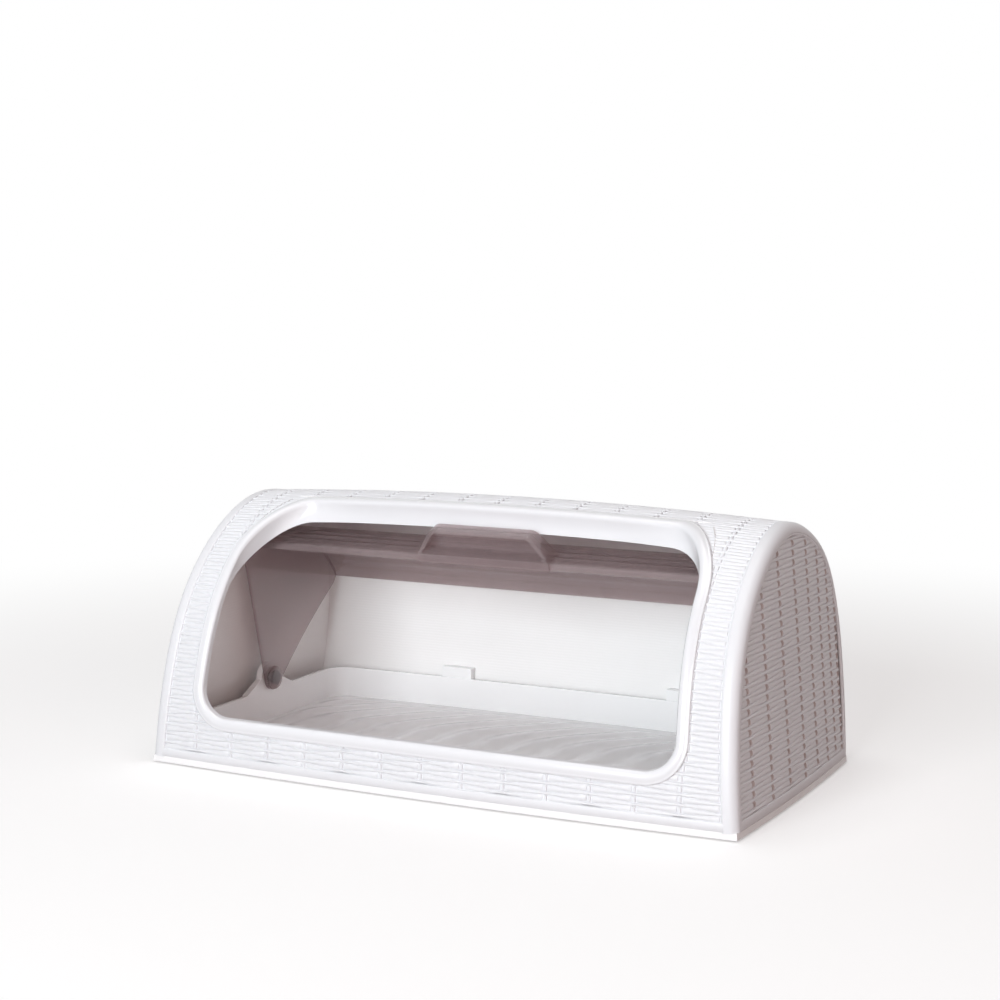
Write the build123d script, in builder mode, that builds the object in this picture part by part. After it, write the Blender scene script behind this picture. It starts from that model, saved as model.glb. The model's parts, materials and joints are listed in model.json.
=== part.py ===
from build123d import *
import os
from math import acos, cos, degrees, radians, sin

# Bread box with a roll-back window lid.
# The origin lies under the middle of the box, +X runs along the width and the opening faces -Y.
# All lengths are in millimetres. The lid is drawn open, as it rests on its stop.

# Body: an arch lofted over the width, fuller in the middle than at the ends
end_width = 385.0
end_bow = 2.5
end_lean = 0.08
arch_depth = 193.2
arch_height = 157.0
middle_bow = 4.9
middle_crown = 6.0
end_rounding = 5.0
shell_wall = 2.2

# Arch outline from the front foot over the crest to the back foot,
# as shares of the half depth and of the height
arch_outline = [
    (-1.000, 0.000),
    (-0.950, 0.318),
    (-0.775, 0.637),
    (-0.510, 0.835),
    (0.060, 1.000),
    (0.520, 0.950),
    (0.825, 0.828),
    (0.998, 0.637),
    (1.057, 0.318),
    (1.000, 0.000),
]

# Tray: plinth, floor and upstand wall
foot_height = 1.0
plinth_height = 4.0
plinth_step = 0.6
plinth_wall = 4.0
floor_thickness = 2.4
floor_drop = 0.4
floor_gap = 0.3
tray_wall = 2.0
tray_wall_height = 20.0
tray_side_inset = 17.0
tray_front_inset = 10.1
tray_back_inset = 3.1
tray_back_bow = 3.5
tray_corner = 14.0

# Opening and the frame round it, as seen from the front
opening_side_inset = 37.0
opening_lean = 0.045
opening_bottom = 34.0
opening_corner = 18.0
bead_width = 8.0
bead_rise = 1.6
bead_top_drop = 2.4
bead_top_width = 2.7
frame_top_band = 14.6
bead_reach = 5.0
neck_wall = 2.0
neck_top_wall = 1.0
frame_gap = 0.3
recess_front = 15.0
recess_wall = 2.2
recess_drop = 11.0

# Lid: a sector that turns about the pivot
pivot_back = 10.5
pivot_height = 35.0
lid_front_gap = 6.1
lid_wall = 2.0
lid_front_angle = 19.0
lid_span = 74.5
lip_depth = 4.8
arm_wall = 2.2
arm_gap = 1.0
arm_end_radius = 8.0

# Hinge pins: a cap inside the arm and a shank that runs in the tray's ear
pin_radius = 3.0
pin_running_gap = 0.05
cap_radius = 7.5
cap_thickness = 2.8
pin_past_ear = 1.5
ear_thickness = 4.0
ear_radius = 10.0
ear_foot = 27.0

# Cup handle on the lid's front edge
handle_width = 89.0
handle_top_width = 68.0
handle_height = 17.0
handle_depth = 13.4
handle_top_depth = 9.4
handle_wall = 2.2
handle_base = 1.2
handle_corner = 6.0
handle_seat = 1.5
tab_thickness = 1.6
tab_rise = 3.0

# Snap tabs at the back, and the pads that it stands on
snap_width = 22.0
snap_spacing = 164.0
snap_overlap = 3.0
slot_rise = 4.0
slot_height = 3.0
snap_gap = 0.3
catch_inset = 0.6
pad_length = 14.0
pad_depth = 9.0
pad_side_inset = 15.5
pad_front_inset = 11.0
pad_corner = 3.0
pad_seat = 26.0
pad_socket = 0.8

seam_height = foot_height + plinth_height
floor_bottom = seam_height - floor_drop
floor_top = floor_bottom + floor_thickness
tray_wall_top = floor_top + tray_wall_height
half_width = end_width / 2
half_depth = arch_depth / 2
above_all = foot_height + arch_height + middle_crown + bead_rise + shell_wall
cut_depth = arch_depth * 0.62
tray_half = half_width - tray_side_inset
tray_front = half_depth - tray_front_inset
tray_back = half_depth - tray_back_inset
snap_bottom = tray_wall_top - snap_overlap
slot_bottom = tray_wall_top + slot_rise
opening_half = half_width - opening_side_inset
bead_top = foot_height + arch_height + middle_crown - bead_top_drop
opening_top = bead_top - frame_top_band
recess_bottom = opening_top - recess_drop
crease_top = bead_top - bead_top_width
pad_x = half_width - pad_side_inset
pad_y = half_depth - pad_front_inset
pivot = (pivot_back, pivot_height)
lid_radius = half_depth + pivot_back - lid_front_gap
lid_half = tray_half - arm_gap
arm_inner = lid_half - arm_wall
lip_angle = 90 + lid_front_angle
rear_angle = lip_angle - lid_span
SIDES = {"left": -1, "right": 1}


def end_block(grow, bottom):
    """Block with bowed ends that lean in towards the top, moved out by grow."""
    with BuildPart() as block:
        for z in (bottom, above_all):
            bulge = half_width + end_bow + grow - end_lean * (z - foot_height)
            corner = bulge - end_bow * (cut_depth / half_depth) ** 2
            with BuildSketch(Plane.XY.offset(z)):
                with BuildLine():
                    Line((-corner, -cut_depth), (corner, -cut_depth))
                    ThreePointArc((corner, -cut_depth), (bulge, 0), (corner, cut_depth))
                    Line((corner, cut_depth), (-corner, cut_depth))
                    ThreePointArc((-corner, cut_depth), (-bulge, 0), (-corner, -cut_depth))
                make_face()
        loft(ruled=True)
    return block.part


def arch_body(grow, bottom):
    """Solid arch with its skin moved out by grow, cut off level at bottom."""
    side = half_width + end_bow + abs(grow) + end_rounding
    end_share = 1 - (side / half_width) ** 2
    ends = end_block(grow, bottom)
    with BuildPart() as body:
        for x, share in ((-side, end_share), (0, 1), (side, end_share)):
            depth = half_depth + middle_bow * share + grow
            height = arch_height + middle_crown * share + grow
            with BuildSketch(Plane.YZ.offset(x)):
                with BuildLine():
                    skin = Spline([(y * depth, foot_height + z * height) for y, z in arch_outline])
                    Line(skin @ 1, skin @ 0)
                make_face()
        loft()
        add(ends, mode=Mode.INTERSECT)
    return body.part


def slab(bottom, top):
    """Level slice of space, wider than the body."""
    with BuildPart() as layer:
        with BuildSketch(Plane.XY.offset(bottom)):
            Rectangle(2 * end_width, 2 * arch_depth)
        extrude(amount=top - bottom)
    return layer.part


def arch_slice(grow, bottom, top):
    """Level slice of the arch."""
    body = arch_body(grow, bottom)
    layer = slab(bottom, top)
    with BuildPart() as piece:
        add(body)
        add(layer, mode=Mode.INTERSECT)
    return piece.part


def front_prism(side_grow, top, back):
    """Prism with the opening's outline, grown at the sides and the bottom, in front of y = -back."""
    half = opening_half + side_grow
    bottom = opening_bottom - side_grow
    high_half = half - opening_lean * (top - bottom)
    with BuildPart() as prism:
        with BuildSketch(Plane.XZ.offset(back)) as outline:
            with BuildLine():
                Polyline((-half, bottom), (half, bottom), (high_half, top), (-high_half, top), close=True)
            make_face()
            fillet(outline.vertices(), radius=opening_corner + side_grow)
        extrude(amount=arch_depth)
    return prism.part


def level_box(x, y, width, depth, bottom, top):
    """Upright box about (x, y)."""
    with BuildPart() as box:
        with BuildSketch(Plane.XY.offset(bottom)):
            with Locations((x, y)):
                Rectangle(width, depth)
        extrude(amount=top - bottom)
    return box.part


def polar(radius, angle):
    """Point in the YZ plane at a radius and an angle about the lid's pivot."""
    return (
        pivot_back + radius * cos(radians(angle)),
        pivot_height + radius * sin(radians(angle)),
    )


skin_body = arch_body(0, seam_height)
raised_body = arch_body(bead_rise, seam_height)
cavity_body = arch_body(-shell_wall, foot_height)
inner_clear_body = arch_body(-shell_wall - snap_gap, foot_height)
catch_body = arch_body(-catch_inset, foot_height)


# Tray: plinth ring under the shell, floor plate, upstand wall, hinge ears and snap tabs
def wall_outline(grow):
    """Plan of the upstand wall's inner face, with its bowed back, moved out by grow."""
    with BuildSketch(Plane.XY.offset(floor_bottom)) as plan:
        with BuildLine():
            side = tray_half + grow
            front = -tray_front - grow
            back = tray_back + grow
            Polyline((-side, back), (-side, front), (side, front), (side, back))
            ThreePointArc((side, back), (0, back + tray_back_bow), (-side, back))
        make_face()
        fillet(plan.vertices(), radius=tray_corner + grow)
    return plan.sketch


plinth_slice = arch_slice(-plinth_step, foot_height, seam_height)
hollow_slice = arch_slice(-plinth_step - plinth_wall, foot_height, floor_bottom)
floor_slice = arch_slice(-shell_wall - floor_gap, floor_bottom, floor_top)
wall_outer = wall_outline(tray_wall)
wall_inner = wall_outline(0)


def snap_blocks(limit_body, width, bottom, top):
    """Blocks at the two snaps, from the upstand wall back to the skin of limit_body."""
    with BuildPart() as blocks:
        for x in (-snap_spacing / 2, snap_spacing / 2):
            with BuildSketch(Plane.XY.offset(bottom)):
                with Locations((x, tray_back + tray_back_bow)):
                    Rectangle(width, half_depth, align=(Align.CENTER, Align.MIN))
            extrude(amount=top - bottom)
        add(limit_body, mode=Mode.INTERSECT)
    return blocks.part


slot_top = slot_bottom + slot_height
snap_tabs = snap_blocks(inner_clear_body, snap_width, snap_bottom, slot_top)
snap_catches = snap_blocks(
    catch_body, snap_width - 2 * snap_gap, slot_bottom + snap_gap, slot_top - snap_gap
)

with BuildPart() as base_tray:
    add(plinth_slice)
    add(hollow_slice, mode=Mode.SUBTRACT)
    for x in (-pad_x, pad_x):
        for y in (-pad_y, pad_y):
            add(level_box(x, y, pad_seat, pad_seat, foot_height, floor_bottom))
    add(plinth_slice, mode=Mode.INTERSECT)
    add(floor_slice)
    extrude(wall_outer, amount=tray_wall_top - floor_bottom)
    with BuildSketch(Plane.XY.offset(floor_top)):
        add(wall_inner)
    extrude(amount=tray_wall_height, mode=Mode.SUBTRACT)
    for side in SIDES.values():
        inner_face = side * tray_half
        with BuildSketch(Plane.YZ.offset(inner_face)):
            with BuildLine():
                foot = tray_wall_top
                Polyline(
                    (pivot_back - ear_foot, floor_top),
                    (pivot_back - ear_foot, foot),
                    (pivot_back - ear_radius, pivot_height),
                )
                ThreePointArc(
                    (pivot_back - ear_radius, pivot_height),
                    (pivot_back, pivot_height + ear_radius),
                    (pivot_back + ear_radius, pivot_height),
                )
                Polyline(
                    (pivot_back + ear_radius, pivot_height),
                    (pivot_back + ear_foot, foot),
                    (pivot_back + ear_foot, floor_top),
                    (pivot_back - ear_foot, floor_top),
                )
            make_face()
            with Locations(pivot):
                Circle(pin_radius + pin_running_gap, mode=Mode.SUBTRACT)
        extrude(amount=side * ear_thickness)
    add(snap_tabs)
    add(snap_catches)
    for x in (-pad_x, pad_x):
        for y in (-pad_y, pad_y):
            with BuildSketch(Plane.XY.offset(foot_height)):
                with Locations((x, y)):
                    RectangleRounded(pad_length, pad_depth, pad_corner)
            extrude(amount=pad_socket, mode=Mode.SUBTRACT)

# Shell: wicker cover with rolled end rims, a hole for the frame and slots for the snaps
hole_prism = front_prism(neck_wall + frame_gap, crease_top + neck_top_wall + frame_gap, bead_reach)
with BuildPart() as shell:
    add(skin_body)
    rims = shell.edges().filter_by(lambda e: abs(e.center().X) > lid_half and e.center().Z > pivot_height)
    fillet(rims, radius=end_rounding)
    add(cavity_body, mode=Mode.SUBTRACT)
    add(hole_prism, mode=Mode.SUBTRACT)
    for x in (-snap_spacing / 2, snap_spacing / 2):
        with BuildSketch(Plane.XY.offset(slot_bottom)):
            with Locations((x, half_depth)):
                Rectangle(snap_width, arch_depth / 4)
        extrude(amount=slot_height, mode=Mode.SUBTRACT)

# Frame: a raised bead over the shell's edge, a neck in its hole and the hand recess along the top
neck_top = crease_top + neck_top_wall
bead_prism = front_prism(bead_width, bead_top, bead_reach)
neck_prism = front_prism(neck_wall, neck_top, bead_reach)
recess_prism = front_prism(recess_wall, neck_top, recess_front - recess_wall)
crease_prism = front_prism(0, crease_top, recess_front)
opening_prism = front_prism(0, opening_top, bead_reach)

with BuildPart() as recess_block:
    add(recess_prism)
    add(slab(recess_bottom, above_all), mode=Mode.INTERSECT)

with BuildPart() as covered_skin:
    add(skin_body)
    add(neck_prism, mode=Mode.SUBTRACT)

with BuildPart() as open_cavity:
    add(cavity_body)
    add(recess_block.part, mode=Mode.SUBTRACT)

with BuildPart() as opening_frame:
    add(bead_prism)
    add(raised_body, mode=Mode.INTERSECT)
    add(covered_skin.part, mode=Mode.SUBTRACT)
    add(open_cavity.part, mode=Mode.SUBTRACT)
    add(crease_prism, mode=Mode.SUBTRACT)
    add(opening_prism, mode=Mode.SUBTRACT)

# Lid: rolled panel, turned-in front lip and two sector arms
lid_inner = lid_radius - lid_wall
lip_inner = lid_radius - lip_depth
tangent_turn = degrees(acos(arm_end_radius / lid_radius))
arm_front = lip_angle + tangent_turn
arm_rear = rear_angle - tangent_turn + 360
lip_turn = degrees(lid_wall / lid_radius)

with BuildPart() as lid:
    with BuildSketch(Plane.YZ):
        with BuildLine():
            CenterArc(pivot, lid_radius, rear_angle, lid_span)
            CenterArc(pivot, lid_inner, rear_angle, lid_span)
            Line(polar(lid_inner, rear_angle), polar(lid_radius, rear_angle))
            Line(polar(lid_inner, lip_angle), polar(lid_radius, lip_angle))
        make_face()
        with BuildLine():
            CenterArc(pivot, lid_radius, lip_angle - lip_turn, lip_turn)
            CenterArc(pivot, lip_inner, lip_angle - lip_turn, lip_turn)
            Line(polar(lip_inner, lip_angle - lip_turn), polar(lid_radius, lip_angle - lip_turn))
            Line(polar(lip_inner, lip_angle), polar(lid_radius, lip_angle))
        make_face()
    extrude(amount=lid_half, both=True)
    for side in SIDES.values():
        with BuildSketch(Plane.YZ.offset(side * arm_inner)):
            with BuildLine():
                CenterArc(pivot, lid_radius, rear_angle, lid_span)
                Line(polar(lid_radius, lip_angle), polar(arm_end_radius, arm_front))
                CenterArc(pivot, arm_end_radius, arm_front, arm_rear - arm_front)
                Line(polar(arm_end_radius, arm_rear), polar(lid_radius, rear_angle))
            make_face()
        extrude(amount=side * arm_wall)
        with BuildSketch(Plane.YZ.offset(side * arm_inner)):
            with Locations(pivot):
                Circle(pin_radius)
        extrude(amount=side * arm_wall, mode=Mode.SUBTRACT)

# Hinge pins
pins = {}
for name, side in SIDES.items():
    with BuildPart() as hinge_pin:
        with BuildSketch(Plane.YZ.offset(side * arm_inner)):
            with Locations(pivot):
                Circle(cap_radius)
        extrude(amount=-side * cap_thickness)
        with BuildSketch(Plane.YZ.offset(side * arm_inner)):
            with Locations(pivot):
                Circle(pin_radius)
        extrude(amount=side * (tray_half + ear_thickness + pin_past_ear - arm_inner))
    pins[name] = hinge_pin.part

# Handle: a hood with its hollow towards the lid's front edge, on a tab over the lip
lip_edge = polar(lid_radius, lip_angle)
hood_plane = Plane(
    origin=(0, lip_edge[0], lip_edge[1]),
    x_dir=(1, 0, 0),
    z_dir=(0, -sin(radians(lip_angle)), cos(radians(lip_angle))),
)


def rim_point(along, out):
    """Point in the YZ plane, along the lid from its front edge and out from its skin there."""
    turn = radians(lip_angle)
    return (
        lip_edge[0] + along * sin(turn) + out * cos(turn),
        lip_edge[1] - along * cos(turn) + out * sin(turn),
    )


def hood_prism(inset):
    """Prism with the handle's front outline, drawn in by inset."""
    half = handle_width / 2 - inset
    top_half = handle_top_width / 2 - inset
    top = handle_height - inset
    with BuildPart() as prism:
        with BuildSketch(hood_plane.offset(tab_thickness)) as outline:
            with BuildLine():
                Polyline(
                    (-half, -lip_depth),
                    (half, -lip_depth),
                    (half, 0),
                    (top_half, top),
                    (-top_half, top),
                    (-half, 0),
                    close=True,
                )
            make_face()
            crown = outline.vertices().filter_by(
                lambda v: abs(hood_plane.to_local_coords(v).Y - top) < tab_thickness / 2
            )
            fillet(crown, radius=handle_corner - inset)
        extrude(amount=-handle_depth - tab_thickness)
    return prism.part


hood_outer = hood_prism(0)
hood_inner = hood_prism(handle_wall)

with BuildPart() as hood_hollow:
    with BuildSketch(Plane.YZ):
        with BuildLine():
            Polyline(
                rim_point(-tab_thickness, handle_base),
                rim_point(handle_depth - handle_wall, handle_base),
                rim_point(handle_top_depth - handle_wall, handle_height),
                rim_point(-tab_thickness, handle_height),
                close=True,
            )
        make_face()
    extrude(amount=handle_width / 2, both=True)
    add(hood_inner, mode=Mode.INTERSECT)

with BuildPart() as lid_handle:
    with BuildSketch(Plane.YZ):
        with BuildLine():
            Polyline(
                rim_point(-tab_thickness, -lip_depth),
                rim_point(0, -lip_depth),
                rim_point(0, -handle_seat),
                rim_point(handle_depth, -handle_seat),
                rim_point(handle_depth, 0),
                rim_point(handle_top_depth, handle_height),
                rim_point(0, handle_height),
                rim_point(0, tab_rise),
                rim_point(-tab_thickness, tab_rise),
                close=True,
            )
        make_face()
    extrude(amount=handle_width / 2, both=True)
    add(hood_outer, mode=Mode.INTERSECT)
    add(hood_hollow.part, mode=Mode.SUBTRACT)
    add(lid.part, mode=Mode.SUBTRACT)

# Pads under the tray's corners
pads = {}
for name, side in SIDES.items():
    for place, y in (("front", -pad_y), ("back", pad_y)):
        with BuildPart() as foot_pad:
            with BuildSketch():
                with Locations((side * pad_x, y)):
                    RectangleRounded(pad_length, pad_depth, pad_corner)
            extrude(amount=foot_height + pad_socket)
        pads[f"foot_pad_{place}_{name}"] = foot_pad.part

base_tray.part.label = "base_tray"
shell.part.label = "shell"
opening_frame.part.label = "opening_frame"
lid.part.label = "lid"
lid_handle.part.label = "lid_handle"
pieces = [base_tray.part, shell.part, opening_frame.part, lid.part, lid_handle.part]
for name, pin in pins.items():
    pin.label = f"hinge_pin_{name}"
    pieces.append(pin)
for name, pad in pads.items():
    pad.label = name
    pieces.append(pad)

# The arch is fuller at the back, so everything moves until the origin is under the middle of the box
box_middle = Compound(pieces).bounding_box().center().Y
print(f"pivot at y = {pivot_back - box_middle:.3f}, z = {pivot_height:.3f}")

os.makedirs("parts", exist_ok=True)
for piece in pieces:
    placed = piece.moved(Location((0, -box_middle, 0)))
    placed.label = piece.label
    export_step(placed, f"parts/{piece.label}.step")
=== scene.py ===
import json
import math

import bmesh
import bpy
import numpy as np
from bpy.props import FloatProperty, FloatVectorProperty, IntProperty, PointerProperty
from mathutils import Matrix, Vector

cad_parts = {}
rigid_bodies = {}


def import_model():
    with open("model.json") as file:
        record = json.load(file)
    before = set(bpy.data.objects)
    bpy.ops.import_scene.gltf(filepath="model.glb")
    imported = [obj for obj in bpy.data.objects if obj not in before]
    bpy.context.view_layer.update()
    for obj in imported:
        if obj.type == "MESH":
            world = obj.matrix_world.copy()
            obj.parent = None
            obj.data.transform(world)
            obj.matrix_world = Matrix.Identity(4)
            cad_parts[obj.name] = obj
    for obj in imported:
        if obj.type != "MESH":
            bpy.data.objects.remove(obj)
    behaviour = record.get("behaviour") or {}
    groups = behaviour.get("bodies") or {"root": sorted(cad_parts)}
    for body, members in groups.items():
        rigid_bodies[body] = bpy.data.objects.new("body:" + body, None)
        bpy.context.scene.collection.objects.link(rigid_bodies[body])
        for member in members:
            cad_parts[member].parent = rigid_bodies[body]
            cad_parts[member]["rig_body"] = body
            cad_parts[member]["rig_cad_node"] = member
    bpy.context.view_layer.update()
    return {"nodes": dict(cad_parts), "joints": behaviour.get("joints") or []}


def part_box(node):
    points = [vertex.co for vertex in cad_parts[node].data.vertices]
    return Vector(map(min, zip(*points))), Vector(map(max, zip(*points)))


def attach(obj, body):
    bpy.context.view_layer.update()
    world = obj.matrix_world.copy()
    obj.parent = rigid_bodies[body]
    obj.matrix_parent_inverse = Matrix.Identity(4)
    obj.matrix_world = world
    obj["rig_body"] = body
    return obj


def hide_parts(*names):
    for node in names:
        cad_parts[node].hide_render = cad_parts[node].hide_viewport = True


bl_info = {
    "name": "Wicker bread box",
    "version": (1, 0, 0),
    "blender": (4, 5, 0),
    "location": "3D View > Sidebar > Bread Box",
    "description": "Dresses a bread box with a wicker cover, a smooth frame and a smoked roll-back lid",
    "category": "Object",
}

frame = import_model()
MM = 0.001
BOX = "box"
LID = "window_lid"
TRAY_LOW, TRAY_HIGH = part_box("base_tray")
PIVOT = Vector(frame["joints"][0]["pos_m"])


def length(name, about, millimetres):
    """A length property, given in millimetres and kept in metres."""
    return FloatProperty(name=name, description=about, default=millimetres * MM, unit="LENGTH", precision=5)


def number(name, about, value):
    """A plain number property."""
    return FloatProperty(name=name, description=about, default=value, precision=4)


def colour(name, about, value):
    """A colour property."""
    return FloatVectorProperty(
        name=name, description=about, default=value, subtype="COLOR", size=3, min=0.0, max=1.0
    )


class BodySizes(bpy.types.PropertyGroup):
    """The arch that the cover, its rims and the frame follow."""

    half_width: length("Half width", "Half the width at the foot", 192.5)
    half_depth: length("Half depth", "Half the depth of the ends", 96.6)
    arch_height: length("Arch height", "Height of the ends over the foot", 157.0)
    middle_bow: length("Middle bow", "How much deeper the middle is than the ends", 4.9)
    middle_crown: length("Middle crown", "How much higher the middle is than the ends", 6.0)
    end_bow: length("End bow", "How far the ends bulge at their middle", 2.5)
    end_lean: number("End lean", "How far the ends lean in, per height", 0.08)
    end_rounding: length("End rounding", "Radius of the rolled end rims", 5.0)
    rim_width: length("Rim width", "Width of the smooth rim on the cover", 9.0)
    foot_height: length("Foot height", "Height of the foot over the surface", 1.0)
    seam_height: length("Seam height", "Height of the seam between cover and tray", 5.0)
    plinth_step: length("Plinth step", "How far the tray's band stands back from the cover", 0.6)
    band_height: length("Band height", "Height of the smooth band over the seam", 5.2)


class WeaveSizes(bpy.types.PropertyGroup):
    """The wicker pattern."""

    stakes: IntProperty(name="Stakes", description="Upright stakes on each side of the middle one", default=7)
    frame_stake: length("Stake at the frame", "Place of the stake that the frame's side covers", 159.0)
    row_pitch: length("Row pitch", "Height of a row of the weave on the cover", 2.9)
    end_row_pitch: length("End row pitch", "Height of a row of the weave on the ends", 2.83)
    end_stake_pitch: length("End stake pitch", "Distance between the stakes of the ends", 28.2)
    end_stake_narrowing: length("End stake narrowing", "How much closer the stakes get to the back", 1.6)
    end_stake_middle: length("End stake middle", "Place of the middle stake of the ends", -16.4)
    end_stake_level: length("End stake level", "Depth of the stakes in the holes of the ends", 1.35)
    zigzag: length("Zigzag", "Half the swing of a row's edge between two stakes", 0.58)
    stake_half: length("Half stake", "Half the width of a stake", 0.8)
    slot_width: length("Slot width", "Width of the slot beside a stake", 0.95)
    ridge_depth: length("Ridge depth", "How far the weave's ridges lie under the rims", 0.2)
    groove_depth: length("Groove depth", "Depth of the groove between two rows", 0.9)
    slot_depth: length("Slot depth", "Depth of the slots beside a stake", 1.25)
    end_slot_depth: length("End slot depth", "Depth of the holes of the ends", 2.05)
    dive_depth: length("Dive depth", "How far a strand dives where it passes behind a stake", 0.25)
    wall_depth: length("Wall depth", "Depth of the step from the rims down to the weave", 1.6)


class FrameSizes(bpy.types.PropertyGroup):
    """The smooth frame round the opening."""

    opening_half: length("Half opening", "Half the opening's width at its bottom", 155.5)
    opening_lean: number("Opening lean", "Lean of the opening's sides", 0.045)
    opening_bottom: length("Opening bottom", "Height of the opening's lower edge", 34.0)
    opening_top: length("Opening top", "Height of the opening's upper edge", 147.0)
    opening_corner: length("Lower corner", "Radius of the opening's lower corners", 18.0)
    upper_corner: length("Upper corner", "Radius of the opening's upper corners", 31.0)
    bead_upper_corner: length("Bead's upper corner", "Radius of the bead's outer edge at the top", 34.0)
    bead_width: length("Bead width", "Width of the raised bead", 8.0)
    bead_rise: length("Bead rise", "How far the bead stands over the cover", 1.6)
    under_bead: length("Under the bead", "How far inside the bead's outer edge the cover ends", 3.0)
    tighter_corner: length("Tighter corner", "How much tighter the cover's cut is at the upper corners", 6.0)
    bead_top: length("Bead top", "Height of the bead's outer edge, seen from the front", 161.6)
    bead_top_width: length("Bead top width", "Width of the bead along the top, seen from the front", 2.7)
    recess_front: length("Recess", "Distance of the hand recess in front of the arch's middle", 15.0)
    recess_start: length("Recess start", "Height at which the edge starts to run back to the recess", 112.0)
    recess_run: length("Recess run", "Length of the edge over which it runs back to the recess", 102.0)
    recess_ease: number("Recess ease", "How late the edge starts to run back", 1.15)
    recess_sag: length("Recess sag", "How hollow the face of the recess is", 1.4)
    rim_setback: length("Rim setback", "How far the opening's edge stands behind the cover's skin", 3.0)
    wall: length("Wall", "Thickness of the frame's wall", 2.2)


class TraySizes(bpy.types.PropertyGroup):
    """The wavy ribs on the tray's floor."""

    floor_level: length("Floor level", "Height of the tray's floor", 7.0)
    half_width: length("Half width", "Half the floor's width", 175.2)
    front: length("Front", "Place of the floor's front edge", -89.2)
    back: length("Back", "Place of the floor's back edge", 90.3)
    corner: length("Corner", "Radius of the floor's corners", 14.0)
    rib_height: length("Rib height", "Height of the ribs", 1.5)
    rib_pitch: length("Rib pitch", "Distance between the ribs along the floor", 26.0)
    rib_slope: number("Rib slope", "How far a rib runs to the right for its run to the back", 0.55)
    rib_swing: length("Rib swing", "How far the ribs swing to either side", 9.0)
    swing_length: length("Swing length", "Length of one swing from front to back", 112.0)
    swing_start: length("Swing start", "Place at which a swing starts", 8.0)
    fade_start: length("Fade start", "Distance from the floor's edge where the ribs start to rise", 2.0)
    fade_stop: length("Fade stop", "Distance from the floor's edge where they are at full height", 14.0)


class LidSizes(bpy.types.PropertyGroup):
    """The smoked lid."""

    radius: length("Radius", "Outer radius about the pins", 101.0)
    wall: length("Wall", "Thickness of the rolled panel", 2.0)
    front_angle: number("Front angle", "Degrees from upright to the lip", 19.0)
    span: number("Span", "Degrees that the rolled panel covers", 74.5)
    half_width: length("Half width", "Half the lid's width", 174.5)
    lip_depth: length("Lip depth", "Depth of the turned-in lip", 4.8)
    arm_wall: length("Arm wall", "Thickness of the arms", 2.2)
    arm_end: length("Arm end", "Radius of the arm's end about the pin", 8.0)
    flute_depth: length("Flute depth", "Depth of the flutes", 0.7)
    flute_pitch: length("Flute pitch", "Distance between the flutes along the panel", 9.0)
    arm_hollow: length("Arm hollow", "How hollow the arms' rear edge is", 2.4)
    edge_round: length("Edge rounding", "Width of the rounding of the handle's edges", 0.5)


class PinSizes(bpy.types.PropertyGroup):
    """The hinge pins."""

    cap_depth: length("Cap depth", "Depth of the clear cap", 2.8)
    hub_radius: length("Hub radius", "Radius of the dark hub in the cap", 4.6)
    shank_radius: length("Shank radius", "Radius of the dark shank", 2.95)


class Finishes(bpy.types.PropertyGroup):
    """Colours of the plastics, with painted shade in the holes of the ends and painted light in the lining.
    """

    # The cover and its lining are one plastic; the lining's lighter, warmer white is partly painted light
    # that stands in for light coming through the thin wall.
    cover: colour("Cover", "The wicker cover", (0.79, 0.795, 0.82))
    lining: colour("Lining", "The cover's inner face", (0.93, 0.915, 0.91))
    frame: colour("Frame", "The smooth frame", (0.80, 0.805, 0.83))
    tray: colour("Tray", "The tray", (0.94, 0.935, 0.94))
    smoke: colour("Smoke", "What the smoked plastic scatters", (0.46, 0.39, 0.40))
    pins: colour("Pins", "The hinge pins", (0.030, 0.024, 0.026))
    # Painted shade: a darker brown-grey for the walls of the holes in the ends, so that they look shaded.
    holes: colour("Holes", "The walls of the holes in the ends", (0.62, 0.55, 0.54))
    pads: colour("Pads", "The foot pads", (0.72, 0.71, 0.71))
    tint: colour("Tint", "What each face of the lid lets through", (0.84, 0.775, 0.775))
    handle_tint: colour("Handle tint", "What each face of the handle lets through", (0.86, 0.80, 0.80))
    haze: number("Haze", "How much each smoked face scatters", 0.24)


class StageSettings(bpy.types.PropertyGroup):
    """Camera, lamps and floor."""

    lens: number("Lens", "Focal length in millimetres", 73.89)
    yaw: number("Yaw", "Degrees that the camera is turned", 27.013)
    pitch: number("Pitch", "Degrees that the camera looks down", 7.105)
    camera_place: FloatVectorProperty(
        name="Camera",
        description="Where the camera stands",
        default=(0.56393, -1.10842, 0.31838),
        unit="LENGTH",
    )
    key_power: number("Key lamp", "Power of the key lamp in watts", 43.0)
    fill_power: number("Fill lamp", "Power of the warm lamp at the right in watts", 12.8)
    top_power: number("Top lamp", "Power of the lamp overhead in watts", 20.0)
    sky: number("Sky", "Strength of the even light", 0.10)
    sky_colour: colour("Sky colour", "Colour of the even light", (1.0, 0.86, 0.83))
    floor_size: length("Floor", "Width of the floor", 8000.0)
    floor_bounce: colour("Floor bounce", "Colour that the floor casts on the box", (0.44, 0.37, 0.36))
    floor_seen: colour("Floor seen", "Colour of the floor as it is seen", (0.78, 0.78, 0.78))
    floor_glow: number("Floor glow", "Light that the seen floor adds", 0.36)
    white_start: length("White start", "Distance at which the seen floor starts to turn white", 300.0)
    white_stop: length("White stop", "Distance at which the seen floor is all white", 950.0)


GROUPS = {
    "box_body": BodySizes,
    "box_weave": WeaveSizes,
    "box_frame": FrameSizes,
    "box_tray": TraySizes,
    "box_lid": LidSizes,
    "box_pins": PinSizes,
    "box_finish": Finishes,
    "box_stage": StageSettings,
}

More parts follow.
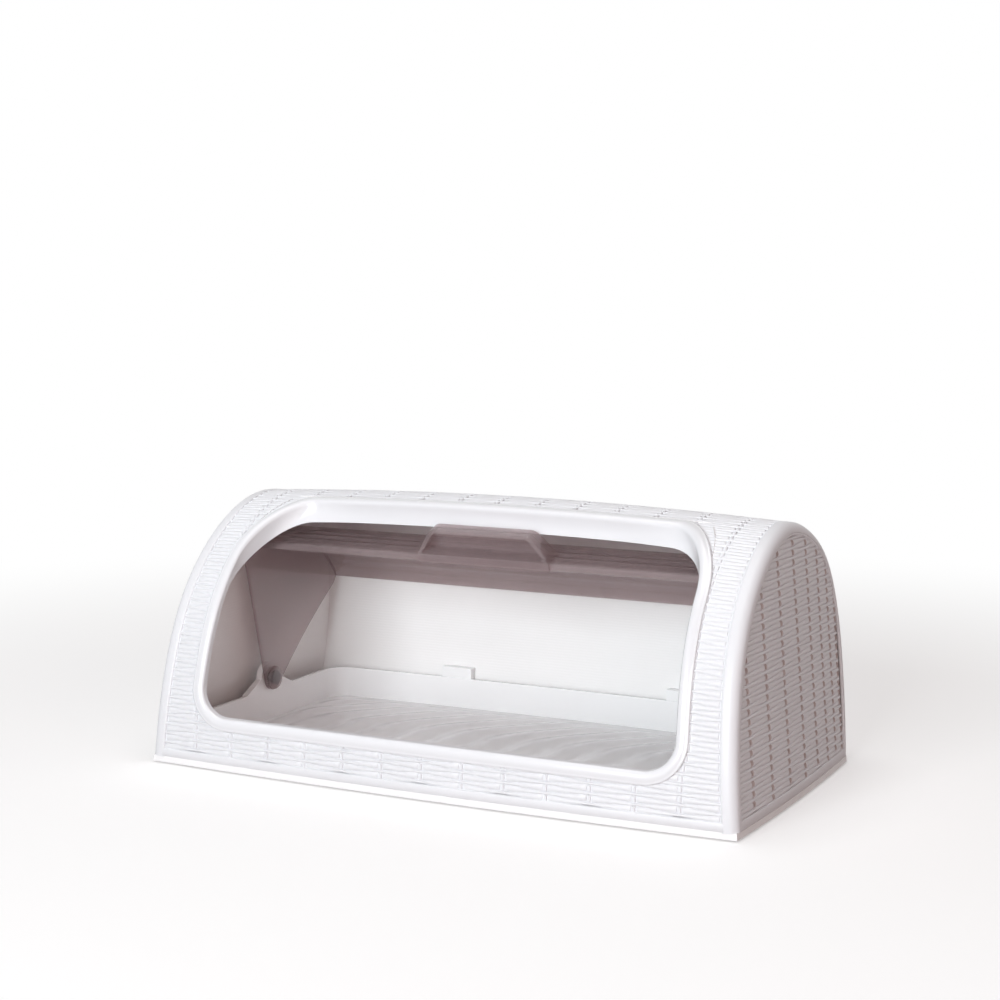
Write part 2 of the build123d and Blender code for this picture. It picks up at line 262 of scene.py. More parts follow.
# Arch outline from the front foot over the crest to the back foot, as shares of half depth and height
ARCH_OUTLINE = (
    (-1.000, 0.000),
    (-0.950, 0.318),
    (-0.775, 0.637),
    (-0.510, 0.835),
    (0.060, 1.000),
    (0.520, 0.950),
    (0.825, 0.828),
    (0.998, 0.637),
    (1.057, 0.318),
    (1.000, 0.000),
)


# Shared mesh helpers


def new_object(name, vertices, faces, body, slot, node=None):
    """Mesh object in metres that rides on a body and may stand for a CAD node."""
    mesh = bpy.data.meshes.new(name)
    mesh.from_pydata([tuple(v) for v in vertices], [], faces)
    mesh.update()
    piece = bpy.data.objects.new(name, mesh)
    bpy.context.scene.collection.objects.link(piece)
    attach(piece, body)
    if node:
        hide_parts(node)
    return piece


def join(parts):
    """Vertices and faces of several parts as one."""
    vertices, faces = [], []
    for points, sides in parts:
        shift = len(vertices)
        vertices += [tuple(point) for point in points]
        faces += [tuple(v + shift for v in side) for side in sides]
    return vertices, faces


def grid_faces(rows, columns):
    """Quads of a grid of vertices kept row by row."""
    faces = []
    for i in range(rows - 1):
        here = i * columns
        there = here + columns
        for j in range(columns - 1):
            faces.append((here + j, here + j + 1, there + j + 1, there + j))
    return faces


def grid_mesh(lines, flip):
    """Vertices and quads of lines of points, turned the other way round on request."""
    grid = np.array(lines)
    faces = grid_faces(*grid.shape[:2])
    if flip:
        faces = [face[::-1] for face in faces]
    return grid.reshape(-1, 3), faces


def edit_mesh(piece, change):
    """Change a piece's mesh through a function that takes it as a bmesh."""
    mesh = bmesh.new()
    mesh.from_mesh(piece.data)
    change(mesh)
    mesh.to_mesh(piece.data)
    mesh.free()


def face_outwards(mesh):
    """Turn the faces of closed bodies outwards."""
    bmesh.ops.recalc_face_normals(mesh, faces=mesh.faces)


def smooth_mesh(piece, sharp_degrees):
    """Shade smooth, with edges over the angle kept sharp."""
    mesh = piece.data
    mesh.polygons.foreach_set("use_smooth", [True] * len(mesh.polygons))
    mesh.set_sharp_from_angle(angle=math.radians(sharp_degrees))


def smoothstep(value, low, high):
    """0 below low, 1 above high, smooth between."""
    share = np.clip((value - low) / (high - low), 0.0, 1.0)
    return share * share * (3.0 - 2.0 * share)


class Arch:
    """The cover's outer skin: points and normals at a place across and a length along the arch."""

    def __init__(self, sizes, samples=4000):
        self.sizes = sizes
        self.depth = sizes.half_depth + sizes.middle_bow
        self.height = sizes.arch_height + sizes.middle_crown
        self.centre = TRAY_LOW.y + self.depth - sizes.plinth_step
        points = np.array(ARCH_OUTLINE) * (self.depth, self.height)
        curve = self.smooth_curve(points, samples)
        steps = np.linalg.norm(np.diff(curve, axis=0), axis=1)
        self.along = np.concatenate([[0.0], np.cumsum(steps)])
        self.curve = curve
        self.slope = np.gradient(curve, self.along, axis=0)
        self.total = self.along[-1]

    @staticmethod
    def smooth_curve(points, samples):
        """Cubic curve through the points, with the slope of a parabola at its ends."""
        gaps = np.linalg.norm(np.diff(points, axis=0), axis=1)
        knots = np.concatenate([[0.0], np.cumsum(gaps)])
        count = len(points)
        system = np.eye(count)
        goal = np.zeros((count, 2))
        secants = np.diff(points, axis=0) / gaps[:, None]
        for i in range(1, count - 1):
            before, after = gaps[i - 1], gaps[i]
            system[i, i - 1 : i + 2] = (after, 2 * (before + after), before)
            goal[i] = 3 * (after * secants[i - 1] + before * secants[i])
        goal[0] = secants[0] - gaps[0] * (secants[1] - secants[0]) / (gaps[0] + gaps[1])
        goal[-1] = secants[-1] + gaps[-1] * (secants[-1] - secants[-2]) / (gaps[-1] + gaps[-2])
        slopes = np.linalg.solve(system, goal)
        places = np.linspace(0.0, knots[-1], samples)
        span = np.clip(np.searchsorted(knots, places, side="right") - 1, 0, count - 2)
        share = ((places - knots[span]) / gaps[span])[:, None]
        gap = gaps[span][:, None]
        rest = 1 - share
        near = (1 + 2 * share) * rest**2 * points[span] + share * rest**2 * gap * slopes[span]
        far = share**2 * (3 - 2 * share) * points[span + 1] - share**2 * rest * gap * slopes[span + 1]
        return near + far

    def skin(self, x, along):
        """Points and outward normals at arrays of places across and lengths along."""
        x, along = np.broadcast_arrays(np.asarray(x, float), np.asarray(along, float))
        sizes = self.sizes
        share = 1.0 - (x / sizes.half_width) ** 2
        change = -2.0 * x / sizes.half_width**2
        deep = (sizes.half_depth + sizes.middle_bow * share) / self.depth
        high = (sizes.arch_height + sizes.middle_crown * share) / self.height
        y, z = (np.interp(along, self.along, self.curve[:, i]) for i in (0, 1))
        dy, dz = (np.interp(along, self.along, self.slope[:, i]) for i in (0, 1))
        points = np.stack([x, self.centre + deep * y, sizes.foot_height + high * z], -1)
        deeper = sizes.middle_bow * change / self.depth * y
        higher = sizes.middle_crown * change / self.height * z
        across = np.stack([np.ones_like(x), deeper, higher], -1)
        onward = np.stack([np.zeros_like(x), deep * dy, high * dz], -1)
        normals = np.cross(across, onward)
        return points, normals / np.linalg.norm(normals, axis=-1, keepdims=True)

    def end_x(self, y, z):
        """Distance of the end wall from the middle."""
        sizes = self.sizes
        bow = sizes.end_bow * (1.0 - ((y - self.centre) / sizes.half_depth) ** 2)
        return sizes.half_width + bow - sizes.end_lean * (z - sizes.foot_height)

    def edge(self, along, side):
        """Points of the sharp edge between the cover and an end wall."""
        x = np.full(np.shape(along), side * self.sizes.half_width)
        for _ in range(12):
            points, _ = self.skin(x, along)
            x = side * self.end_x(points[..., 1], points[..., 2])
        return self.skin(x, along)

    def front(self, x, z):
        """Points and normals of the front skin at places across and heights at the middle."""
        x, z = np.broadcast_arrays(np.asarray(x, float), np.asarray(z, float))
        crest = int(np.argmax(self.curve[:, 1]))
        along = np.interp(z - self.sizes.foot_height, self.curve[:crest, 1], self.along[:crest])
        return self.skin(x, along)


# Wicker pattern

# Shares of a row's height at which it has a line of vertices, with the share of the groove's depth there
ROW_LINES = ((0.0, 1.0), (0.13, 0.42), (0.36, 0.05), (0.64, 0.05), (0.87, 0.42))
# Shares of the way between two stakes at which there is a line of vertices
BETWEEN_STAKES = (0.2, 0.4, 0.6, 0.8)
# Half the width of the steep wall of a slot
SLOT_WALL = 0.18 * MM
# Share of a slot's width that the rim or the bead beside it covers
SLOT_COVERED = 0.1
# Heights between which the stake at the frame moves over to the bead's side
FOLLOW_BEAD = (30 * MM, 52 * MM)
# Numbers of the first and the last stake of the ends
END_STAKES = (-3, 5)
# How far the weave of the ends stays inside the rounding of their rims
END_BORDER = 1.6 * MM
# How far the weave of the ends stays under the crest of that border
END_TOP_GAP = 0.2 * MM
# Places along the arch at which the border of the ends and the skin over the lining are worked out
BORDER_POINTS = 900
SKIN_POINTS = 1500
# Lines of vertices along a rim, a band of the cover and a band of the ends
RIM_LINES = 260
BAND_LINES = 60
END_BAND_LINES = 50
# How far a band runs on under the rims, on the cover and on the ends
UNDER_RIM = 2 * MM
UNDER_END_RIM = 1 * MM
# Steps of the quarter circle of a rolled rim
RIM_STEPS = 8
# Depth under the skin of the cover beyond which a face of the CAD cover is part of its lining
LINING_DEPTH = 1.55 * MM


def stake_columns(weave):
    """Offsets from a stake's middle that its slots need, with whether each lies in a slot."""
    inner = weave.stake_half
    outer = weave.stake_half + weave.slot_width
    wall = SLOT_WALL
    offsets = [(0.0, 0), (inner - wall, 0), (inner + wall, 1), (outer - wall, 1), (outer + wall, 0)]
    left = [(-offset, slot) for offset, slot in reversed(offsets[1:])]
    return left + offsets


def weave_columns(weave, first, last):
    """Columns of vertices: stake, offset from it, share of the way to the next stake, slot or not, swing."""
    columns = []
    near = stake_columns(weave)
    for stake in range(first, last + 1):
        swing = 1 - 2 * (stake % 2)
        for offset, slot in near:
            columns.append((stake, offset, 0.0, slot, swing))
        if stake < last:
            for share in BETWEEN_STAKES:
                columns.append((stake, 0.0, share, 0, swing * (1 - 2 * share)))
    return columns


def weave_depth(weave, row, line_share, groove, column, levels):
    """Depth under the skin of one vertex of the weave, and whether it lies in a hole."""
    _, offset, share, slot, swing = column
    passing = swing * (1 - 2 * (row % 2))
    behind = 0.5 - 0.5 * passing
    depth = weave.ridge_depth + weave.groove_depth * groove + weave.dive_depth * behind * behind
    if share == 0.0 and line_share > 0.0 and passing < 0:
        slot_level, stake_level = levels
        if slot:
            return slot_level, True
        if abs(offset) <= weave.stake_half:
            return stake_level, stake_level > weave.groove_depth
    return depth, False


def weave_lines(weave, rows, pitch, columns, levels):
    """Yield each line of vertices: its place along, its depths and its marks for holes, one per column."""
    swings = np.array([column[4] for column in columns], float)
    for row in range(rows):
        low = row * pitch + weave.zigzag * (1 - 2 * (row % 2)) * swings
        high = (row + 1) * pitch - weave.zigzag * (1 - 2 * (row % 2)) * swings
        for share, groove in ROW_LINES:
            found = [weave_depth(weave, row, share, groove, column, levels) for column in columns]
            depths, holes = zip(*found)
            yield low + share * (high - low), np.array(depths), np.array(holes)
    yield high, np.full(len(columns), weave.ridge_depth + weave.groove_depth), np.zeros(len(columns), bool)


def hole_shade_marks(holes, faces):
    """Material number of each face: 1, the material with painted shade, where at least half of its corners
    lie in a hole.
    """
    flat = np.array(holes).reshape(-1)
    return [int(sum(flat[v] for v in face) >= 2) for face in faces]


def stake_places(columns, places):
    """Distance of every column, given the places of the stakes by number."""
    found = []
    for stake, offset, share, _, _ in columns:
        here = places[stake]
        onward = places.get(stake + 1, here)
        found.append(here + offset + share * (onward - here))
    return np.array(found)


def in_window(sizes, x, z, grow):
    """Whether places seen from the front lie in the opening's outline, grown at the sides and bottom."""
    bottom = sizes.opening_bottom - grow
    top = sizes.bead_top - grow_top(sizes, grow)
    half = sizes.opening_half + grow - sizes.opening_lean * (z - bottom)
    upper = sizes.bead_upper_corner - sizes.tighter_corner
    radius = np.where(z > 0.5 * (bottom + top), upper, sizes.opening_corner + grow)
    from_side = half - np.abs(x)
    from_level = np.minimum(z - bottom, top - z)
    inside = (from_side > 0) & (from_level > 0)
    corner = (from_side < radius) & (from_level < radius)
    beyond = np.hypot(radius - from_side, radius - from_level) > radius
    return inside & ~(corner & beyond)


def grow_top(sizes, grow):
    """How far under the bead's top a loop drawn in from the bead's outer edge lies."""
    return (sizes.bead_width - grow) / sizes.bead_width * sizes.bead_top_width


def cover_weave(arch, weave, sizes):
    """The weave on the cover as two parts, front and back: vertices and faces."""
    body = arch.sizes
    last = weave.stakes
    columns = weave_columns(weave, -last, last)
    foot = body.seam_height + body.band_height - body.foot_height
    rows = int((arch.total - 2 * foot) / weave.row_pitch)
    pitch = (arch.total - 2 * foot) / rows
    levels = (weave.slot_depth, weave.ridge_depth + 0.5 * weave.dive_depth)
    tuck = SLOT_COVERED * weave.slot_width
    grow = sizes.bead_width - sizes.under_bead
    lines, hidden = [], []
    for along, depths, _ in weave_lines(weave, rows, pitch, columns, levels):
        along = along + foot
        level = float(along.mean())
        edge, _ = arch.edge(np.array([level]), 1)
        at_frame, _ = arch.skin(np.array([weave.frame_stake]), np.array([level]))
        z = at_frame[0, 2]
        beside = sizes.opening_half + sizes.bead_width - sizes.opening_lean * (z - sizes.opening_bottom)
        beside -= weave.stake_half - tuck
        frame_stake = weave.frame_stake + smoothstep(z, *FOLLOW_BEAD) * (beside - weave.frame_stake)
        rim = edge[0, 0] - body.rim_width + weave.stake_half + tuck
        places = {}
        for stake in range(-last, last + 1):
            size = abs(stake)
            place = frame_stake * size / (last - 1) if size < last else rim
            places[stake] = math.copysign(place, stake) if stake else 0.0
        points, normals = arch.skin(stake_places(columns, places), along)
        lines.append(points - normals * depths[:, None])
        ahead = points[:, 1] < arch.centre - 0.5 * sizes.recess_front
        nominal = body.foot_height + np.interp(along, arch.along, arch.curve[:, 1])
        hidden.append(ahead & in_window(sizes, points[:, 0], nominal, grow))
    grid, hidden = np.array(lines), np.array(hidden)
    middle = len(grid) // 2
    parts = []
    for some in (slice(0, middle + 1), slice(middle, len(grid))):
        vertices, faces = grid_mesh(grid[some], False)
        covered = hidden[some].reshape(-1)
        parts.append((vertices, [f for f in faces if not all(covered[v] for v in f)]))
    return parts


def end_weave(arch, weave, side):
    """Vertices, faces and marks for the painted shade in the holes of the weave on an end wall, held inside
    the arch's border.
    """
    body = arch.sizes
    first, last = END_STAKES
    columns = weave_columns(weave, first, last)
    border = body.end_rounding + END_BORDER
    edge, normals = arch.edge(np.linspace(0, arch.total, BORDER_POINTS), side)
    limit = edge[:, 1:] - normals[:, 1:] * border
    crest = int(np.argmax(limit[:, 1]))
    foot = body.seam_height + body.band_height
    top = limit[crest, 1] - END_TOP_GAP
    rows = int((top - foot) / weave.end_row_pitch) + 1
    places = {}
    for stake in range(first, last + 1):
        narrowing = weave.end_stake_narrowing * max(stake, 0) ** 2
        places[stake] = weave.end_stake_middle + weave.end_stake_pitch * stake - narrowing
    base = stake_places(columns, places)
    levels = (weave.end_slot_depth, weave.end_stake_level)
    lines, holes = [], []
    for heights, depths, hole in weave_lines(weave, rows, weave.end_row_pitch, columns, levels):
        z = np.minimum(heights + foot, top)
        front = np.interp(z, limit[: crest + 1, 1], limit[: crest + 1, 0])
        back = np.interp(z, limit[crest:, 1][::-1], limit[crest:, 0][::-1])
        y = np.clip(base, front, back)
        x = side * (arch.end_x(y, z) - depths)
        lines.append(np.stack([x, y, z], -1))
        holes.append(hole)
    vertices, faces = grid_mesh(lines, side < 0)
    return vertices, faces, hole_shade_marks(holes, faces)


def rim_section(body, weave):
    """Section of a rolled rim: places across the cover and over the end wall, from the corner."""
    width = body.rim_width
    radius = body.end_rounding
    wall = weave.wall_depth
    points = [
        (-width - 0.2 * MM, -wall),
        (-width, -0.55 * MM),
        (-width + 0.5 * MM, -0.15 * MM),
        (-width + 1.4 * MM, 0.0),
        (-radius - 1.0 * MM, 0.0),
    ]
    for step in range(RIM_STEPS + 1):
        angle = math.radians(90 - 90 * step / RIM_STEPS)
        points.append((-radius + radius * math.cos(angle), -radius + radius * math.sin(angle)))
    points += [
        (0.0, -radius - 0.5 * MM),
        (-0.45 * MM, -radius - 0.8 * MM),
        (-0.05 * MM, -radius - 1.1 * MM),
        (-0.05 * MM, -radius - 1.7 * MM),
        (-0.5 * MM, -radius - 2.1 * MM),
        (-wall, -radius - 2.2 * MM),
    ]
    return np.array(points)


def rim_mesh(arch, weave, side):
    """Vertices and faces of a smooth rolled rim, from the seam over the crest to the seam."""
    body = arch.sizes
    start = body.seam_height - body.foot_height
    along = np.linspace(start, arch.total - start, RIM_LINES)
    edge, skin = arch.edge(along, side)
    slope = 2 * body.end_bow * (edge[:, 1] - arch.centre) / body.half_depth**2
    outward = np.stack([np.full(len(edge), side), slope, np.full(len(edge), body.end_lean)], -1)
    outward /= np.linalg.norm(outward, axis=1, keepdims=True)
    mixed = np.sum(outward * skin, axis=1, keepdims=True)
    across = outward - mixed * skin
    across /= np.linalg.norm(across, axis=1, keepdims=True)
    down = skin - mixed * outward
    down /= np.linalg.norm(down, axis=1, keepdims=True)
    section = rim_section(body, weave)
    lines = edge[:, None] + section[None, :, :1] * across[:, None] + section[None, :, 1:] * down[:, None]
    return grid_mesh(lines, side > 0)


def band_section(body, weave):
    """Heights over the seam and depths of the smooth band along the foot."""
    top = body.band_height
    return (
        (0.0, 0.35 * MM),
        (0.3 * MM, 0.0),
        (top - 0.5 * MM, 0.0),
        (top, 0.25 * MM),
        (top + 0.25 * MM, weave.wall_depth),
    )


def cover_band(arch, weave, back):
    """Vertices and faces of the smooth band along the front or back foot."""
    body = arch.sizes
    start = body.seam_height - body.foot_height
    reach = body.half_width - body.rim_width + UNDER_RIM
    x = np.linspace(-reach, reach, BAND_LINES)
    lines = []
    for height, depth in band_section(body, weave):
        along = start + height
        along = arch.total - along if back else along
        points, normals = arch.skin(x, np.full(len(x), along))
        lines.append(points - normals * depth)
    return grid_mesh(lines, back)


def end_band(arch, weave, side):
    """Vertices and faces of the smooth band along the foot of an end wall."""
    body = arch.sizes
    reach = body.half_depth - body.end_rounding + UNDER_END_RIM
    y = np.linspace(arch.centre - reach, arch.centre + reach, END_BAND_LINES)
    lines = []
    for height, depth in band_section(body, weave):
        z = body.seam_height + height
        x = side * (arch.end_x(y, z) - depth)
        lines.append(np.stack([x, y, np.full(len(y), z)], -1))
    return grid_mesh(lines, side < 0)


def lining_mesh(arch):
    """The inner faces of the CAD cover: everything that lies well under its outer skin."""
    source = frame["nodes"]["shell"].data
    vertices = np.zeros(len(source.vertices) * 3)
    source.vertices.foreach_get("co", vertices)
    vertices = vertices.reshape(-1, 3)
    body = arch.sizes
    y = vertices[:, 1]
    z = vertices[:, 2]
    over_end = arch.end_x(y, z) - np.abs(vertices[:, 0])
    along = np.linspace(0, arch.total, SKIN_POINTS)
    outline, _ = arch.skin(np.zeros(len(along)), along)
    share = 1.0 - (vertices[:, 0] / body.half_width) ** 2
    deep = (body.half_depth + body.middle_bow * share) / arch.depth
    high = (body.arch_height + body.middle_crown * share) / arch.height
    flat_y = (y - arch.centre) / deep + arch.centre
    flat_z = (z - body.foot_height) / high + body.foot_height
    under = [np.min(np.hypot(outline[:, 1] - a, outline[:, 2] - b)) for a, b in zip(flat_y, flat_z)]
    outer = np.minimum(over_end, under) < LINING_DEPTH
    faces = [tuple(p.vertices) for p in source.polygons if not all(outer[v] for v in p.vertices)]
    return vertices, faces


# The frame round the opening

# Section of the bead from its outer edge inwards, as shares of its width and of its rise over the cover
BEAD_SECTION = (
    (1.00, -0.5625),
    (1.00, 0.40625),
    (0.95, 0.575),
    (0.87, 0.65625),
    (0.82, 0.625),
    (0.78, 0.6875),
    (0.66, 0.875),
    (0.48, 1.0),
    (0.30, 0.8875),
    (0.14, 0.5625),
    (0.04, 0.0625),
)
# Shares of the way from the bead to the opening's edge at which there is a loop of vertices
EDGE_LOOPS = (0.12, 0.25, 0.4, 0.55, 0.7, 0.82, 0.92)
# Which of these loops, counted from the last, the hidden flange behind the edge ends at
FLANGE_LOOP = -3


def outline_loop(sizes, grow, top, per_corner=18, per_side=46):
    """Closed loop of places seen from the front, counter-clockwise from the lower left corner."""
    bottom = sizes.opening_bottom - grow
    half = sizes.opening_half + grow
    lower = sizes.opening_corner + grow
    upper = sizes.upper_corner + (sizes.bead_upper_corner - sizes.upper_corner) * grow / sizes.bead_width
    lean = sizes.opening_lean
    tilt = math.atan(lean)
    high_half = half - lean * (top - bottom)
    corners = (
        (-half, bottom, math.pi - tilt, 1.5 * math.pi, lower),
        (half, bottom, 1.5 * math.pi, 2 * math.pi + tilt, lower),
        (high_half, top, tilt, 0.5 * math.pi, upper),
        (-high_half, top, 0.5 * math.pi, math.pi - tilt, upper),
    )
    points = []
    for x, z, start, stop, radius in corners:
        middle = 0.5 * (start + stop)
        reach = radius / math.cos(0.5 * (stop - start))
        centre = (x - reach * math.cos(middle), z - reach * math.sin(middle))
        arc = []
        for step in range(per_corner + 1):
            angle = start + (stop - start) * step / per_corner
            arc.append((centre[0] + radius * math.cos(angle), centre[1] + radius * math.sin(angle)))
        if points:
            points += between(points[-1], arc[0], per_side)
        points += arc
    points += between(points[-1], points[0], per_side)
    return np.array(points)


def between(first, second, count):
    """Evenly spaced places strictly between two places."""
    shares = [step / (count + 1) for step in range(1, count + 1)]
    return [tuple(a + (b - a) * share for a, b in zip(first, second)) for share in shares]


def frame_mesh(arch, sizes):
    """Vertices and faces of the frame: bead, rolled edge and the scoop that forms the hand recess."""
    loops = []
    for share, level in BEAD_SECTION:
        grow = share * sizes.bead_width
        places = outline_loop(sizes, grow, sizes.bead_top - grow_top(sizes, grow))
        points, normals = arch.front(places[:, 0], places[:, 1])
        loops.append(points + normals * level * sizes.bead_rise)
    crease = loops[-1]
    inner = outline_loop(sizes, 0.0, sizes.opening_top)
    rim, _ = arch.front(inner[:, 0], inner[:, 1])
    rim[:, 1] += sizes.rim_setback
    recess_y = arch.centre - sizes.recess_front
    side = sizes.opening_half - sizes.opening_lean * (inner[:, 1] - sizes.opening_bottom)
    over = np.maximum(inner[:, 1] - sizes.recess_start, 0.0)
    run = np.where(over > 0, over + np.maximum(side - np.abs(inner[:, 0]), 0.0), 0.0) / sizes.recess_run
    back = np.sin(0.5 * math.pi * np.clip(run, 0.0, 1.0) ** sizes.recess_ease)
    rim[:, 1] += back * np.maximum(recess_y - rim[:, 1], 0.0)
    edge_loops = []
    for share in EDGE_LOOPS:
        loop = crease + (rim - crease) * share
        loop[:, 1] += back * math.sin(math.pi * share) * sizes.recess_sag
        edge_loops.append(loop)
    hidden = outline_loop(sizes, sizes.wall, sizes.opening_top + sizes.wall)
    wall = rim.copy()
    wall[:, 2] += (1 - back) * (hidden[:, 1] - inner[:, 1])
    behind = edge_loops[FLANGE_LOOP].copy()
    for loop in (wall, behind):
        loop[:, 0] = hidden[:, 0]
        loop[:, 1] += back * sizes.wall
    grid = np.array([*loops, *edge_loops, rim, wall, behind])
    rows, columns = grid.shape[:2]
    faces = []
    for i in range(rows - 1):
        for j in range(columns):
            a, b = i * columns + j, i * columns + (j + 1) % columns
            faces.append((a, b, b + columns, a + columns))
    return grid.reshape(-1, 3), faces


# The lid

# Lines of vertices round the rolled panel
PANEL_LINES = 240
# Gap between the panel's outer face and the CAD lid's, so that the looks stay inside it
PANEL_GAP = 0.02 * MM
# Share of a flute's depth that shows on the panel's inner face
INNER_FLUTES = 0.6


def around_pivot(radius, degrees_up):
    """Place in the YZ plane about the pins."""
    turn = np.radians(degrees_up)
    return np.stack([PIVOT.y + radius * np.cos(turn), PIVOT.z + radius * np.sin(turn)], -1)


def extrude_outline(outline, low, high):
    """Closed prism over an outline in the YZ plane."""
    count = len(outline)
    vertices = [(x, y, z) for x in (low, high) for y, z in outline]
    faces = [tuple(range(count))[::-1], tuple(range(count, 2 * count))]
    for i in range(count):
        j = (i + 1) % count
        faces.append((i, j, j + count, i + count))
    return vertices, faces


def panel_outline(lid):
    """Section of the fluted rolled panel with its lip, in the YZ plane."""
    lip = 90 + lid.front_angle
    rear = lip - lid.span
    turns = np.linspace(rear, lip, PANEL_LINES)
    arc = np.radians(lip - turns) * lid.radius
    rest = np.radians(lid.span) * lid.radius - arc
    fade = smoothstep(arc, 3 * MM, 9 * MM) * smoothstep(rest, 2 * MM, 8 * MM)
    wave = 0.5 - 0.5 * np.cos(2 * math.pi * arc / lid.flute_pitch)
    flutes = lid.flute_depth * wave * fade
    outer = lid.radius - PANEL_GAP - flutes
    inner = outer - lid.wall + INNER_FLUTES * flutes
    outside = around_pivot(outer, turns)
    inside = around_pivot(inner, turns)[::-1]
    step = math.degrees(0.5 * MM / lid.radius)
    lip_wall = math.degrees(lid.wall / lid.radius)
    bend = [
        around_pivot(lid.radius - 0.5 * MM, lip),
        around_pivot(lid.radius - lid.lip_depth + 0.4 * MM, lip),
        around_pivot(lid.radius - lid.lip_depth, lip - step),
        around_pivot(lid.radius - lid.lip_depth, lip - lip_wall + step),
        around_pivot(lid.radius - lid.wall - 0.4 * MM, lip - lip_wall),
    ]
    keep = turns[::-1] < lip - lip_wall - step
    return np.concatenate([outside[:-1], np.array(bend), inside[keep]])


def arm_outline(lid):
    """Section of an arm: a sector with a slightly hollow rear edge and rounded corners."""
    lip = 90 + lid.front_angle
    rear = lip - lid.span
    turn = math.degrees(math.acos(lid.arm_end / lid.radius))
    top = lid.radius - lid.wall + 0.1 * MM
    points = [around_pivot(top, angle) for angle in np.linspace(rear + 3.5, lip, 60)]
    end_start, end_stop = lip + turn, rear - turn + 360
    points += [around_pivot(lid.arm_end, angle) for angle in np.linspace(end_start, end_stop, 16)]
    low = around_pivot(lid.arm_end, end_stop)
    high = around_pivot(top, rear)
    hollow = around_pivot(1.0, rear + 90) - np.array([PIVOT.y, PIVOT.z])
    for share in np.linspace(0.1, 0.93, 14):
        bow = lid.arm_hollow * math.sin(math.pi * share)
        points.append(low + (high - low) * share + hollow * bow)
    points.append(around_pivot(top - 1.6 * MM, rear + 1.2))
    return np.array(points)


# Materials


# Surface of each opaque plastic: roughness, strength and scale of its grain, cloudiness, coat and ripple
SURFACES = {
    "white_wicker": {"roughness": 0.42, "grain": 0.25, "scale": 900.0, "tone": 0.05},
    # The holes' material carries painted shade through its darker colour.
    "wicker_holes": {"roughness": 0.6, "grain": 0.2, "scale": 600.0, "tone": 0.1},
    # The lining's material is partly painted light: its colour is lighter and warmer than the cover's.
    "cover_lining": {"roughness": 0.38, "grain": 0.2, "scale": 600.0, "tone": 0.06, "ripple": 170.0},
    "white_gloss": {"roughness": 0.24, "grain": 0.05, "scale": 300.0, "tone": 0.02, "coat": 0.25},
    "tray_gloss": {"roughness": 0.2, "grain": 0.06, "scale": 250.0, "tone": 0.04, "coat": 0.3},
    "dark_pin": {"roughness": 0.25, "grain": 0.05, "scale": 400.0, "tone": 0.1},
    "pad_rubber": {"roughness": 0.7, "grain": 0.3, "scale": 700.0, "tone": 0.05},
}
# Share that a smoked face mirrors when seen straight on and along it, and the power of the rise between
GLOSS = (0.045, 0.75, 4.0)
# How many times over a face tints what is seen along it, and the power of the rise up to that
SLANT_TINT = (5, 3.0)


def wire(tree, node, inputs):
    """Set a node's inputs: a socket is linked, anything else is the input's value."""
    for name, value in inputs.items():
        if isinstance(value, bpy.types.NodeSocket):
            tree.links.new(value, node.inputs[name])
        else:
            node.inputs[name].default_value = value


def add_node(tree, kind, inputs=None, **settings):
    """Shader node with its settings and inputs."""
    node = tree.nodes.new(kind)
    for name, value in settings.items():
        setattr(node, name, value)
    wire(tree, node, inputs or {})
    return node


def calculate(tree, operation, first, second):
    """Result of a math node."""
    return add_node(tree, "ShaderNodeMath", {0: first, 1: second}, operation=operation).outputs["Value"]


def mix_shaders(tree, share, first, second):
    """Node that mixes the results of two others."""
    return add_node(tree, "ShaderNodeMixShader", {"Fac": share, 1: first.outputs[0], 2: second.outputs[0]})


def node_material(name):
    """New material and its node tree."""
    material = bpy.data.materials.new(name)
    material.use_nodes = True
    return material, material.node_tree


def plastic(name, base):
    """Moulded plastic: a base colour with faint cloudiness, fine grain and an optional coat and ripple."""
    surface = SURFACES[name]
    material, tree = node_material(name)
    place = add_node(tree, "ShaderNodeTexCoord").outputs["Object"]
    cloud = add_node(tree, "ShaderNodeTexNoise", {"Vector": place, "Scale": 14.0, "Detail": 3.0})
    ramp = add_node(tree, "ShaderNodeValToRGB", {"Fac": cloud.outputs["Fac"]})
    dark = [channel * (1 - surface["tone"]) for channel in base]
    ramp.color_ramp.elements[0].color = (*dark, 1)
    ramp.color_ramp.elements[1].color = (*base, 1)
    fine = add_node(tree, "ShaderNodeTexNoise", {"Vector": place, "Scale": surface["scale"], "Detail": 4.0})
    grain = {"Height": fine.outputs["Fac"], "Strength": surface["grain"], "Distance": 0.2 * MM}
    normal = add_node(tree, "ShaderNodeBump", grain).outputs["Normal"]
    if "ripple" in surface:
        waves = {"Vector": place, "Scale": surface["ripple"], "Distortion": 1.2}
        wave = add_node(tree, "ShaderNodeTexWave", waves, bands_direction="Z")
        ripple = {"Height": wave.outputs["Fac"], "Normal": normal, "Strength": 0.12, "Distance": 0.3 * MM}
        normal = add_node(tree, "ShaderNodeBump", ripple).outputs["Normal"]
    shader = {
        "Base Color": ramp.outputs["Color"],
        "Roughness": surface["roughness"],
        "Coat Weight": surface.get("coat", 0.0),
        "Coat Roughness": 0.12,
        "Normal": normal,
    }
    wire(tree, tree.nodes["Principled BSDF"], shader)
    return material


